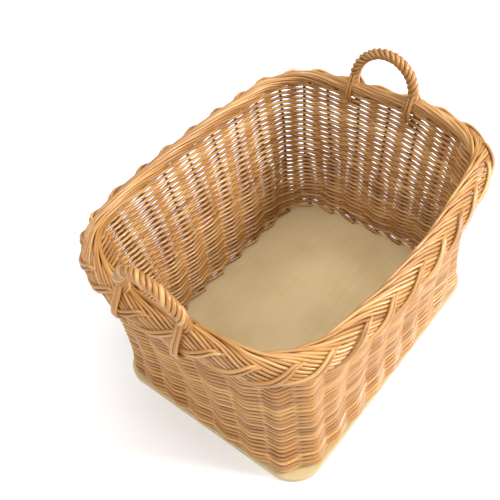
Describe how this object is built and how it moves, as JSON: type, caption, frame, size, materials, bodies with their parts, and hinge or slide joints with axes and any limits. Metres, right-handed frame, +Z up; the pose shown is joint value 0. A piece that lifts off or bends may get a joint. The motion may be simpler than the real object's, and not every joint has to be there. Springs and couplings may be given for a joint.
{
  "type": "woven wicker basket",
  "caption": "Rectangular willow log basket with rounded corners, a plywood base, two bands of randing, a plaited border and a roped handle at each end.",
  "frame": {"origin": "middle of the underside of the base board, which is the middle of the basket's footprint", "axes": "+Z up, X along the long sides with a handle at each end, Y across"},
  "size_m": [0.5498, 0.4308, 0.3538],
  "materials": {
    "plywood": "sanded plywood, dry and matt, with pale cut edges",
    "peeled_willow_stakes": "smooth buff willow, satin",
    "buff_willow_rods": "buff willow rods, satin, lighter and darker from rod to rod",
    "border_willow_rods": "buff willow rods, satin, with pale highlights",
    "handle_willow_rods": "twisted buff willow rods, satin"
  },
  "bodies": {
    "root": {"base_board": "plywood", "stake_01": "peeled_willow_stakes", "stake_02": "peeled_willow_stakes", "stake_03": "peeled_willow_stakes", "stake_04": "peeled_willow_stakes", "stake_05": "peeled_willow_stakes", "stake_06": "peeled_willow_stakes", "stake_07": "peeled_willow_stakes", "stake_08": "peeled_willow_stakes", "stake_09": "peeled_willow_stakes", "stake_10": "peeled_willow_stakes", "stake_11": "peeled_willow_stakes", "stake_12": "peeled_willow_stakes", "stake_13": "peeled_willow_stakes", "stake_14": "peeled_willow_stakes", "stake_15": "peeled_willow_stakes", "stake_16": "peeled_willow_stakes", "stake_17": "peeled_willow_stakes", "stake_18": "peeled_willow_stakes", "stake_19": "peeled_willow_stakes", "stake_20": "peeled_willow_stakes", "stake_21": "peeled_willow_stakes", "stake_22": "peeled_willow_stakes", "stake_23": "peeled_willow_stakes", "stake_24": "peeled_willow_stakes", "stake_25": "peeled_willow_stakes", "stake_26": "peeled_willow_stakes", "stake_27": "peeled_willow_stakes", "stake_28": "peeled_willow_stakes", "stake_29": "peeled_willow_stakes", "stake_30": "peeled_willow_stakes", "stake_31": "peeled_willow_stakes", "stake_32": "peeled_willow_stakes", "lower_weave": "buff_willow_rods", "upper_weave": "buff_willow_rods", "plaited_border": "border_willow_rods", "left_handle_bow": "peeled_willow_stakes", "left_handle_roping": "handle_willow_rods", "left_handle_ties": "handle_willow_rods", "right_handle_bow": "peeled_willow_stakes", "right_handle_roping": "handle_willow_rods", "right_handle_ties": "handle_willow_rods"}
  },
  "joints": []
}
